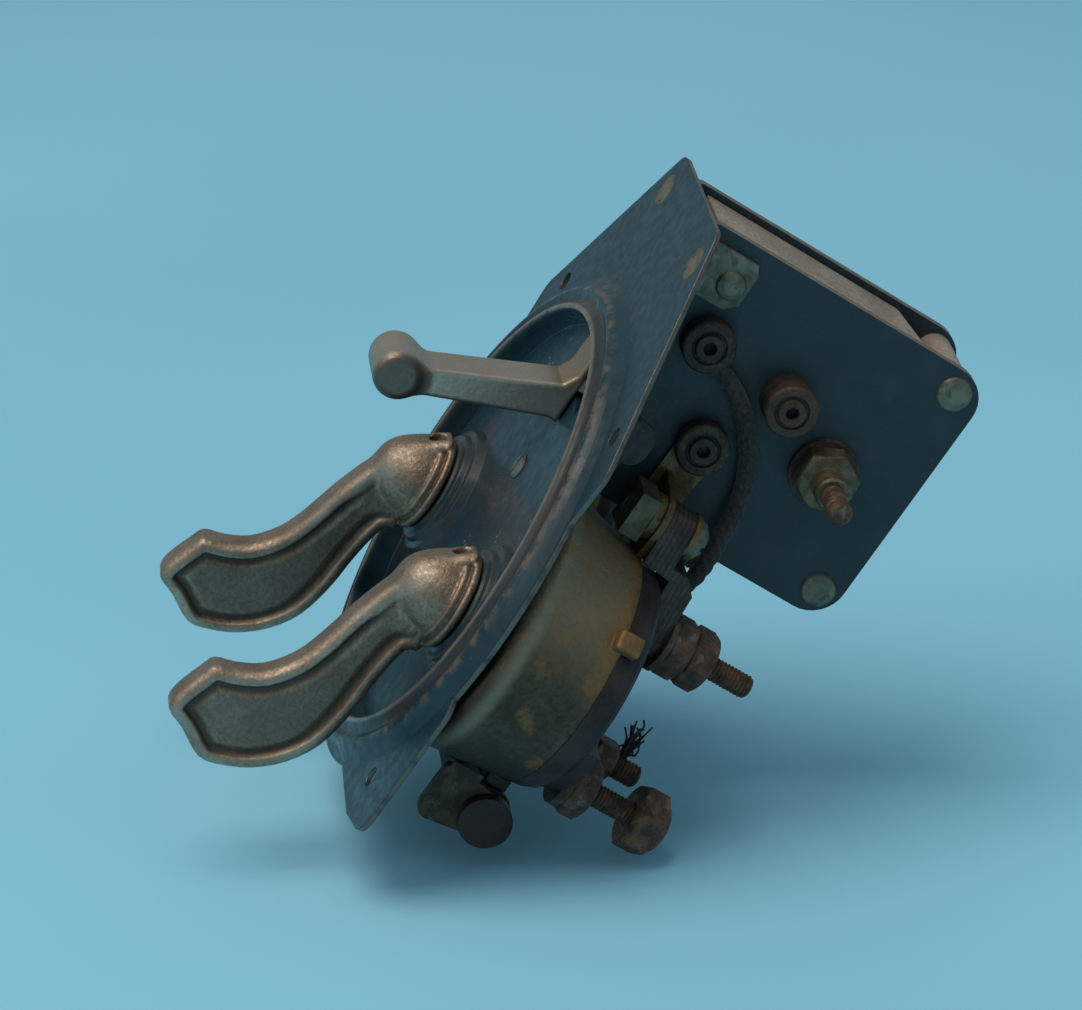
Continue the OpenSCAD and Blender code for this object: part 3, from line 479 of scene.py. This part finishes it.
# ---------------------------------------------------------------- shapes
def skin(name, points, faces, body, kind, slot, *nodes, **tags):
    """A piece from points in mm, riding on a body and standing for CAD nodes. tags are values per point."""
    points = np.array(points, float) / 1000
    points[:, 2] += DIAL_Z / 1000
    mesh = bpy.data.meshes.new(name)
    mesh.from_pydata(points.tolist(), [], [[int(i) for i in face] for face in faces])
    for tag, values in tags.items():
        mesh.attributes.new(tag, "FLOAT", "POINT").data.foreach_set("value", np.asarray(values, np.float32))
    edit = bmesh.new()
    edit.from_mesh(mesh)
    bmesh.ops.recalc_face_normals(edit, faces=edit.faces)
    edit.to_mesh(mesh)
    edit.free()
    mesh.polygons.foreach_set("use_smooth", [True] * len(mesh.polygons))
    mesh.set_sharp_from_angle(angle=math.radians(38))
    mesh.materials.append(MATERIALS[kind])
    obj = bpy.data.objects.new(name, mesh)
    bpy.context.scene.collection.objects.link(obj)
    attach(obj, body)
    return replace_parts(obj, *nodes)


def spline(a, b, c, d, steps):
    """Points on the smooth curves from each b to its c, with a before and d after."""
    parts = []
    for t in np.arange(steps) / steps:
        square = (2 * a - 5 * b + 4 * c - d) * t * t
        cube = (3 * b - a - 3 * c + d) * t ** 3
        parts.append((2 * b + (c - a) * t + square + cube) / 2)
    return np.stack(parts, 1).reshape(-1, a.shape[1])


def smooth_outline(points, steps=3):
    """A smooth closed curve through the points."""
    p = np.array(points, float)
    return spline(np.roll(p, 1, 0), p, np.roll(p, -1, 0), np.roll(p, -2, 0), steps)


def outline_distance(outline, y, z):
    """Distance to a closed outline, negative inside."""
    best = np.full(np.broadcast(y, z).shape, 1e9)
    within = np.zeros(best.shape, bool)
    for (y0, z0), (y1, z1) in zip(outline, np.roll(outline, -1, 0)):
        ey, ez = y1 - y0, z1 - z0
        t = np.clip(((y - y0) * ey + (z - z0) * ez) / (ey * ey + ez * ez), 0, 1)
        best = np.minimum(best, (y - y0 - t * ey) ** 2 + (z - z0 - t * ez) ** 2)
        if ez:
            within ^= ((z0 > z) != (z1 > z)) & (y < y0 + ey * (z - z0) / ez)
    return np.where(within, -1, 1) * np.sqrt(best)


def join(a, b, blend):
    """Union of two distances with a fillet."""
    h = np.clip(0.5 + 0.5 * (b - a) / blend, 0, 1)
    return b * (1 - h) + a * h - blend * h * (1 - h)


def cut(a, b, blend):
    """Intersection of two distances with a soft edge."""
    return -join(-a, -b, blend)


def rounded(a, b, r):
    """The corner between two distances, rounded to a radius."""
    a, b = a + r, b + r
    return np.minimum(np.maximum(a, b), 0) + np.hypot(np.maximum(a, 0), np.maximum(b, 0)) - r


def ramp(value, low, high):
    t = np.clip((value - low) / (high - low), 0, 1)
    return t * t * (3 - 2 * t)


def surface(field, low, high, step):
    """Points and faces of the field's zero level, where the field is negative inside."""
    axes = [np.arange(a, b + step, step) for a, b in zip(low, high)]
    value = field(*np.meshgrid(*axes, indexing="ij", sparse=True))
    inside = value < 0
    shape = np.array(value.shape)
    total = np.zeros((*(shape - 1), 3))
    count = np.zeros(shape - 1)
    crossings = []
    for axis in range(3):
        one, two = (axis + 1) % 3, (axis + 2) % 3
        first = [slice(None)] * 3
        second = [slice(None)] * 3
        first[axis], second[axis] = slice(0, -1), slice(1, None)
        first, second = tuple(first), tuple(second)
        crossed = inside[first] != inside[second]
        gap = np.where(crossed, value[first] - value[second], 1)
        along = np.where(crossed, value[first] / gap, 0)
        crossings.append(crossed)
        for d1 in (0, 1):
            for d2 in (0, 1):
                part = [slice(None)] * 3
                part[one] = slice(d1, shape[one] - 1 + d1)
                part[two] = slice(d2, shape[two] - 1 + d2)
                hit = crossed[tuple(part)]
                total[..., axis] += along[tuple(part)]
                total[..., one] += hit * d1
                total[..., two] += hit * d2
                count += hit
    cells = np.argwhere(count > 0)
    index = np.full(count.shape, -1)
    index[tuple(cells.T)] = np.arange(len(cells))
    points = np.array(low) + step * (cells + total[tuple(cells.T)] / count[tuple(cells.T)][:, None])
    faces = []
    for axis in range(3):
        one, two = (axis + 1) % 3, (axis + 2) % 3
        spots = np.argwhere(crossings[axis])
        corners = []
        for d1, d2 in ((-1, -1), (0, -1), (0, 0), (-1, 0)):
            spot = spots.copy()
            spot[:, one] += d1
            spot[:, two] += d2
            corners.append(index[tuple(spot.T)])
        quads = np.stack(corners, 1)
        back = ~inside[tuple(spots.T)]
        quads[back] = quads[back][:, ::-1]
        faces.append(quads)
    for _ in range(2):
        here = field(*points.T)
        slope = np.stack([(field(*(points + 0.02 * e).T) - here) / 0.02 for e in np.eye(3)], 1)
        size = np.maximum((slope ** 2).sum(1), 0.2)
        points = points - np.clip(here / size, -step, step)[:, None] * slope
    return points, np.concatenate(faces)


# ---------------------------------------------------------------- levers
BLADE = smooth_outline([
    (-3.6, 9.6), (-8.6, 8.2), (-12.2, 4.6), (-15.6, -2), (-18.4, -10), (-20.6, -18.5), (-22.8, -24.2),
    (-26.6, -29), (-31.2, -31.4), (-35.2, -32.6), (-36.6, -35.4), (-38.6, -41.4), (-38, -44.6),
    (-34, -46.6), (-28.4, -50), (-23.8, -49.4), (-18.4, -47), (-13.4, -42.7), (-9.8, -36.8),
    (-8.1, -29), (-7.5, -20), (-6.2, -12.4), (-3.6, -9.6),
])
BLADE_HALF = 3.8
LEVER_SPLAY = 2.8


def lever_field(x, y, z):
    """A cast lever about its own axis: blade with a rimmed hollow, egg-shaped hub and stepped collar."""
    edge = outline_distance(BLADE, y, z)
    depth = -edge
    low = ramp(depth, 2.1, 3.2) * 1.35 - ramp(depth, 3.5, 5.2) * 0.6
    low = low * ramp(z, -7.5, -12) + 0.35 * ramp(depth, 2.6, 3.6) * ramp(z, -11, -7) * ramp(y, -6, -12)
    blade = rounded(edge, np.abs(x) - BLADE_HALF, 2.3)
    blade = cut(blade, np.abs(x) - (BLADE_HALF - low), 0.5)
    around = np.hypot(x, z)
    long = np.where(y < -5.4, 10.2, 6.0)
    dome = (np.sqrt((around / 8) ** 2 + ((y + 5.4) / long) ** 2) - 1) * 7.6
    dome = np.maximum(dome, y + 3.4)
    collar = rounded(around - 10.1, np.abs(y + 4.0) - 0.75, 0.5)
    step = rounded(around - 8.9, np.abs(y + 5.4) - 0.8, 0.5)
    body = join(join(dome, blade, 0.9), join(collar, step, 0.25), 0.35)
    hole = np.where(z > 0, 1.5 - np.hypot(x, y + 7), -9)
    return np.maximum(body, hole)


def add_levers():
    points, faces = surface(lever_field, (-11, -40, -51.6), (11, -2.2, 11.4), 0.36)
    depth = -outline_distance(BLADE, points[:, 1], points[:, 2])
    flank = ramp(np.abs(points[:, 0]), 1.0, 1.7) * ramp(points[:, 2], -6, -11)
    # masks of painted shade (groove, the dome's seam, inner panel) and of a painted highlight (rims), for
    # lever_metal
    hollow = ramp(depth, 2.3, 3.1) * (1 - 0.85 * ramp(depth, 3.6, 4.8)) * flank
    around = np.hypot(points[:, 0], points[:, 2])
    seam_shade = ramp(np.abs(around - 9.3), 0.7, 0.1) * ramp(points[:, 1], -8, -5)
    crown_highlight = ramp(np.abs(points[:, 0]), 2.4, 3.5) * ramp(depth, 3.0, 2.2) * ramp(points[:, 1], -9, -12)
    basin = ramp(depth, 4.2, 5.6) * flank
    for side, name in ((1, "right"), (-1, "left")):
        a = math.radians(-side * LEVER_SPLAY)
        x, y, z = points.T
        placed = np.stack([x * math.cos(a) + z * math.sin(a) + side * HUB_X, y,
                           z * math.cos(a) - x * math.sin(a) + HUB_Z], 1)
        skin("cast_lever_" + name, placed, faces, name + "_control", "levers", "lever_metal", "lever_" + name,
             hollow=np.maximum(hollow, 0.8 * seam_shade), rim=crown_highlight, basin=0.8 * basin)


ARM = np.array([(0.8, 26), (-1.2, 26.1), (-25, 17.2), (-29.5, 17.5), (-28.4, 21.8), (-2.4, 33.4),
                (-1, 36), (-0.8, 42), (0.8, 42)], float)
KNOB = (-30.2, 18.9)


def selector_field(x, y, z):
    edge = outline_distance(ARM, y, z)
    bar = rounded(edge, np.abs(x) - 5, 0.85)
    around = np.hypot(y - KNOB[0], z - KNOB[1])
    knob = rounded(around - 4.9, np.abs(x) - 7.1, 2.2)
    tang = rounded(np.maximum(np.abs(y - 2.3) - 1.9, np.abs(z - 34.6) - 1.4), np.abs(x) - 3.5, 0.1)
    return np.minimum(join(bar, knob, 2.2), tang)


def add_selector():
    points, faces = surface(selector_field, (-8.4, -36.8, 12.4), (8.4, 5.2, 43), 0.32)
    skin("cast_selector", points, faces, "selector", "selector", "lever_metal", "selector_lever")


# ---------------------------------------------------------------- threads and nuts
TURN = np.linspace(0, 2 * math.pi, 24, endpoint=False)
FINE_TURN = np.linspace(0, 2 * math.pi, 72, endpoint=False)
PITCH = 0.8


def stack(rows, ring=False):
    """Points and faces of rows of points joined in order: a closed ring of rows, or a rod with flat ends."""
    count, n = len(rows), len(rows[0])
    points = np.concatenate(rows)
    faces = []
    for i in range(count if ring else count - 1):
        a, b = i * n, (i + 1) % count * n
        faces += [(a + k, a + (k + 1) % n, b + (k + 1) % n, b + k) for k in range(n)]
    if not ring:
        faces += [tuple(range(n))[::-1], tuple((count - 1) * n + k for k in range(n))]
    return points, faces


def merged(parts):
    points, faces, base = [], [], 0
    for p, f in parts:
        points.append(p)
        faces += [tuple(i + base for i in face) for face in f]
        base += len(p)
    return np.concatenate(points), faces


def around_axis(centre, axis, along, radius, turn):
    """One row of points round an axis at a distance along it."""
    a, b = radius * np.cos(turn), radius * np.sin(turn)
    zero = np.zeros_like(a) + along
    row = (a, zero, b) if axis == "y" else (zero, a, b)
    return np.stack(row, 1) + centre


def threaded(centre, axis, start, end, radius=2.38, deep=0.42):
    rows = []
    for along in np.arange(start, end + 0.01, 0.1):
        wave = 0.5 - 0.5 * np.cos(2 * math.pi * along / PITCH - TURN)
        r = radius - deep * wave ** 0.8
        limit = radius - max(0, along - end + 0.6) * 0.9 - max(0, start + 0.2 - along)
        rows.append(around_axis(centre, axis, along, np.minimum(r, limit), TURN))
    return stack(rows)


def rod(centre, axis, start, end, radius):
    return stack([around_axis(centre, axis, along, radius, TURN) for along in (start, end)])


def hexagon(across, phase):
    return across / 2 / np.cos((FINE_TURN + phase) % (math.pi / 3) - math.pi / 6)


def nut(centre, axis, start, high, across, phase, bore=2.1, domed=0.0):
    """A hexagon nut with chamfered corners. A dome closes its far end if domed is more than 0."""
    outer = hexagon(across, phase)
    rows = []
    for t in (0, 0.15, 0.35, 0.7, 1.1, high - 1.1, high - 0.7, high - 0.35, high - 0.15, high):
        limit = across / 2 * 0.955 + 1.6 * min(t, high - t)
        rows.append(around_axis(centre, axis, start + t, np.minimum(outer, limit), FINE_TURN))
    if not domed:
        rows += [around_axis(centre, axis, along, bore, FINE_TURN) for along in (start + high, start)]
        return stack(rows, ring=True)
    for a in np.radians(np.arange(0, 86, 12)):
        rows.append(around_axis(centre, axis, start + high + domed * math.sin(a),
                                across * 0.44 * math.cos(a), FINE_TURN))
    blind = [around_axis(centre, axis, start + along, bore, FINE_TURN) for along in (high - 0.8, 0)]
    return stack(blind + rows)


BASE_BACK, PAD_BACK = 28.1, 31.1
# the studs' places: x outwards and z, from the drum's axis
STUD_UP, STUD_MID, STUD_LOW = (0.5, 13.5), (-2, -13.9), (8, -17.3)
LINK_T = 5.6
CORE = 2.05                 # a stud's radius below its thread
NUT_HIGH, NUT_ACROSS = 4.8, 11
MID_NUT_ACROSS = 7.5


def stud_axis(side, spot):
    """A point on the axis of the stud at this spot of the right or left drum."""
    return np.array([side * (HUB_X + spot[0]), 0, HUB_Z + spot[1]])


def add_studs():
    for side, name in ((1, "right"), (-1, "left")):
        ends = ((STUD_UP, 54.6 if side > 0 else 55.0, BASE_BACK + (LINK_T + 11 if side > 0 else 15.6), 4.0),
                (STUD_MID, 47.8, PAD_BACK + 10.6, 4.0), (STUD_LOW, 53.5, PAD_BACK + 6.6, 2.4))
        parts = []
        for spot, end, free, seat in ends:
            centre = stud_axis(side, spot)
            parts += [rod(centre, "y", 19.6, 22.5, seat), rod(centre, "y", 22.4, free + 0.2, CORE),
                      threaded(centre, "y", free + 0.1, end)]
        skin("threaded_studs_" + name, *merged(parts), "housing", "rust", "rusted_steel", "studs_" + name)
        nuts = []
        lift = BASE_BACK + (LINK_T + 1.4 if side > 0 else 1.2)
        for i in range(2 if side > 0 else 3):
            nuts.append(nut(stud_axis(side, STUD_UP), "y", lift + NUT_HIGH * i, NUT_HIGH, NUT_ACROSS, 0.0))
        for spot, across, start, high in (
            (STUD_MID, MID_NUT_ACROSS, 1, NUT_HIGH), (STUD_MID, MID_NUT_ACROSS, 1 + NUT_HIGH, NUT_HIGH),
            (STUD_LOW, NUT_ACROSS, 2, 4.6),
        ):
            nuts.append(nut(stud_axis(side, spot), "y", PAD_BACK + start, high, across, 0.0))
        skin("chamfered_nuts_" + name, *merged(nuts), "housing", "rust", "rusted_steel", "stud_nuts_" + name)
    domed = nut(stud_axis(1, STUD_LOW), "y", 47, 5.6, 12, math.pi / 6, bore=2.45, domed=2.2)
    skin("domed_nut", *domed, "housing", "rust", "rusted_steel", "cap_nut")


def add_aux():
    centre = np.array([0, 47.1, 46.5])
    parts = [rod(centre, "x", 8.8, 10.8, 5.0), rod(centre, "x", 10.7, 25.2, CORE),
             threaded(centre, "x", 25.1, 34.4)]
    skin("threaded_aux", *merged(parts), "housing", "rust", "rusted_steel", "aux_stud")
    collar = [around_axis(centre, "x", x, r, FINE_TURN) for x, r in
              ((19.5, 3.3), (24.4, 3.3), (24.9, 2.9), (24.9, 2.1), (19.5, 2.1))]
    faced = merged([nut(centre, "x", 14.6, 5, NUT_ACROSS, math.pi / 6), stack(collar, ring=True)])
    skin("aux_nut_faced", *faced, "housing", "olive", "plated_steel", "aux_nut")


# ---------------------------------------------------------------- drum cases
CASE_FRONT, CASE_BACK, CASE_WALL = 2.2, 22.5, 1.5


def drum(x, y, z, inset):
    """The drawn drum with its raised lobe, shrunk by inset."""
    taper = 26 - inset - 1.5 * np.clip((y - 5) / 17.5, 0, 1)
    front = CASE_FRONT + inset - y
    main = rounded(np.hypot(x, z) - taper, front, 2.4)
    lobe = rounded(np.hypot(x + 1.5, z - 5) - (24.6 - inset) + 0.3 * np.maximum(y - 4.8, 0), front + 0.6, 2.4)
    return join(main, lobe, 2.5)


def case_field(x, y, z):
    shell = np.maximum(drum(x, y, z, 0), -drum(x, y, z, CASE_WALL))
    shell = np.maximum(np.maximum(shell, y - CASE_BACK), 5.5 - np.hypot(x, z))
    around = np.hypot(x, z)
    for angle in (38, 158, 278):
        a = math.radians(angle)
        across = np.abs(z * math.cos(a) - x * math.sin(a)) - 2.0
        ahead = np.where(x * math.cos(a) + z * math.sin(a) > 0, 0.0, 9.0)
        tab = rounded(np.maximum(np.abs(around - 25.9) - 1.3, across) + ahead, np.abs(y - 22.7) - 2.5, 0.5)
        shell = join(shell, tab, 0.4)
    return np.maximum(shell, np.where(y > CASE_BACK, 24.66 - around, -9))


def add_cases():
    points, faces = surface(case_field, (-28.2, 1.4, -28.2), (28.2, 26.4, 31), 0.42)
    for side, name in ((1, "right"), (-1, "left")):
        placed = points * (side, 1, 1) + (side * HUB_X, 0, HUB_Z)
        skin("drawn_case_" + name, placed, faces, "housing", "case", "tarnished_brass", "case_" + name)


# ---------------------------------------------------------------- leads
LEAD_ROUTE = (
    (15.3, 14.2, 54.8), (15.5, 18.3, 53.8), (15.6, 22.5, 51.9), (15.6, 26.6, 49), (15.6, 30.3, 45),
    (15.6, 33.2, 40.6), (15.8, 35.2, 36), (16.2, 36.4, 31), (17, 36.8, 25.8), (18.2, 36.8, 21.4),
    (19.8, 36, 17.6), (21.4, 34.4, 14.8),
)
LEAD_R = 1.8
WIRE_END = (25.2, 43.4, -18.8)
WIRE_CORE = ((25.2, 43.2, -18.9), (24.8, 43, -17), (24.4, 42.7, -15.2))
STRANDS = 22


def smooth_path(route, steps):
    """A smooth open curve through the points."""
    p = np.array(route, float)
    ends = np.concatenate([[2 * p[0] - p[1]], p, [2 * p[-1] - p[-2]]])
    return np.concatenate([spline(ends[:-3], ends[1:-2], ends[2:-1], ends[3:], steps), p[-1:]])


def swept(path, radius, turn, pattern=None):
    """A tube along a path. pattern gives the share of the radius for a distance and the angles round it."""
    rows = []
    side = None
    gone = 0.0
    for i, point in enumerate(path):
        ahead = path[min(i + 1, len(path) - 1)] - path[max(i - 1, 0)]
        ahead = ahead / np.linalg.norm(ahead)
        side = np.cross(ahead, (0.31, 0.2, 0.93)) if side is None else side - ahead * np.dot(side, ahead)
        side = side / np.linalg.norm(side)
        over = np.cross(ahead, side)
        if i:
            gone += np.linalg.norm(point - path[i - 1])
        r = radius * (pattern(gone, turn) if pattern else np.ones_like(turn))
        rows.append(point + np.outer(r * np.cos(turn), side) + np.outer(r * np.sin(turn), over))
    return stack(rows)


def plait(gone, turn):
    """Two sets of ridges that wind opposite ways."""
    one = np.cos(4 * turn + gone * 2.6)
    two = np.cos(4 * turn - gone * 2.6)
    return 0.90 + 0.095 * np.maximum(one, two)


def add_leads():
    strands = []
    thin = np.linspace(0, 2 * math.pi, 6, endpoint=False)
    for _ in range(STRANDS):
        start = np.array(WIRE_END) + RNG.uniform(-0.9, 0.9, 3) * (1, 0.6, 0.3)
        lean = RNG.uniform(-1, 1, 3) * (2.6, 3.6, 1.2) + (-0.4, 0.6, 0)
        rise = RNG.uniform(2.0, 8.0)
        curl = RNG.uniform(-3.0, 3.0, 3)
        path = [start + lean * t * 0.6 + np.array([0, -0.12 * rise, rise]) * t + curl * math.sin(3.0 * t) * t
                for t in (0, 0.25, 0.5, 0.75, 1)]
        strands.append(swept(smooth_path(path, 4), 0.2, thin))
    core = swept(smooth_path(WIRE_CORE, 4), 0.75, thin)
    skin("frayed_wire", *merged(strands + [core]), "housing", "braid", "braid", "wire_stub")
    turn = np.linspace(0, 2 * math.pi, 32, endpoint=False)
    sleeve = swept(smooth_path(LEAD_ROUTE, 24), LEAD_R, turn, plait)
    skin("plaited_lead", *sleeve, "housing", "braid", "braid", "braided_lead")


add_levers()
add_selector()
add_cases()
add_studs()
add_aux()
add_leads()


# ---------------------------------------------------------------- floor, backdrop and light
def pale_floor():
    """Pale from above. Its underside is clear, so that it doesn't hide the object from below."""
    n = Net("pale_floor")
    cloud = n.noise(0.004, 2)
    color = n.mix(cloud, (0.300, 0.700, 0.93), (0.318, 0.730, 0.96))
    shader = n.add("ShaderNodeBsdfPrincipled")
    n.put(shader.inputs["Base Color"], color)
    shader.inputs["Roughness"].default_value = 0.7
    clear = n.add("ShaderNodeBsdfTransparent")
    under = n.add("ShaderNodeNewGeometry").outputs["Backfacing"]
    pick = n.add("ShaderNodeMixShader")
    n.put(pick.inputs[0], under)
    n.put(pick.inputs[1], shader.outputs[0])
    n.put(pick.inputs[2], clear.outputs[0])
    out = n.add("ShaderNodeOutputMaterial")
    n.put(out.inputs[0], pick.outputs[0])
    return n.mat


FLOOR_PITCH = 20.0       # how far the camera looks down on the floor, in degrees
FLOOR_TOUCH = (36.0, 51.4, -25.5)
FLOOR_DROP = 6.6         # mm from that point down to the floor
FLOOR_HALF = 4.0         # metres
LIGHT_AIM = (0, 15, 10)


def floor_up():
    """The floor's upward direction: the camera's up, tipped towards the camera."""
    _, up, back = view_axes()
    p = math.radians(FLOOR_PITCH)
    return (up * math.cos(p) + back * math.sin(p)).normalized()


def add_floor():
    up = floor_up()
    centre = at(*FLOOR_TOUCH) - up * FLOOR_DROP / 1000
    mesh = bpy.data.meshes.new("floor")
    s = FLOOR_HALF
    mesh.from_pydata([(-s, -s, 0), (s, -s, 0), (s, s, 0), (-s, s, 0)], [], [(0, 1, 2, 3)])
    mesh.materials.append(pale_floor())
    floor = bpy.data.objects.new("floor", mesh)
    floor.matrix_world = Matrix.Translation(centre) @ up.to_track_quat("Z", "Y").to_matrix().to_4x4()
    bpy.context.scene.collection.objects.link(floor)


def add_light(name, direction, distance, size, power, color):
    data = bpy.data.lights.new(name, "AREA")
    data.shape = "DISK"
    data.size = size
    data.energy = power
    data.color = color
    light = bpy.data.objects.new(name, data)
    d = direction.normalized()
    place = Matrix.Translation(at(*LIGHT_AIM) + d * distance)
    light.matrix_world = place @ d.to_track_quat("Z", "Y").to_matrix().to_4x4()
    bpy.context.scene.collection.objects.link(light)


def add_world():
    world = bpy.data.worlds.new("studio")
    world.use_nodes = True
    world.node_tree.nodes["Background"].inputs["Color"].default_value = (0.46, 0.60, 0.66, 1)
    world.node_tree.nodes["Background"].inputs["Strength"].default_value = 0.48
    bpy.context.scene.world = world


add_floor()
add_world()
right, up, back = view_axes()
sky = floor_up()
add_light("key", sky * 1.0 + right * -0.30 + back * 0.25, 2.0, 1.5, 20, (1.0, 0.90, 0.78))
add_light("fill", sky * 0.5 + right * -0.9 + back * 0.5, 1.6, 0.9, 2.0, (1.0, 0.95, 0.90))

# ---------------------------------------------------------------- end
def corners(box):
    return [[float(v) for v in corner] for corner in box]
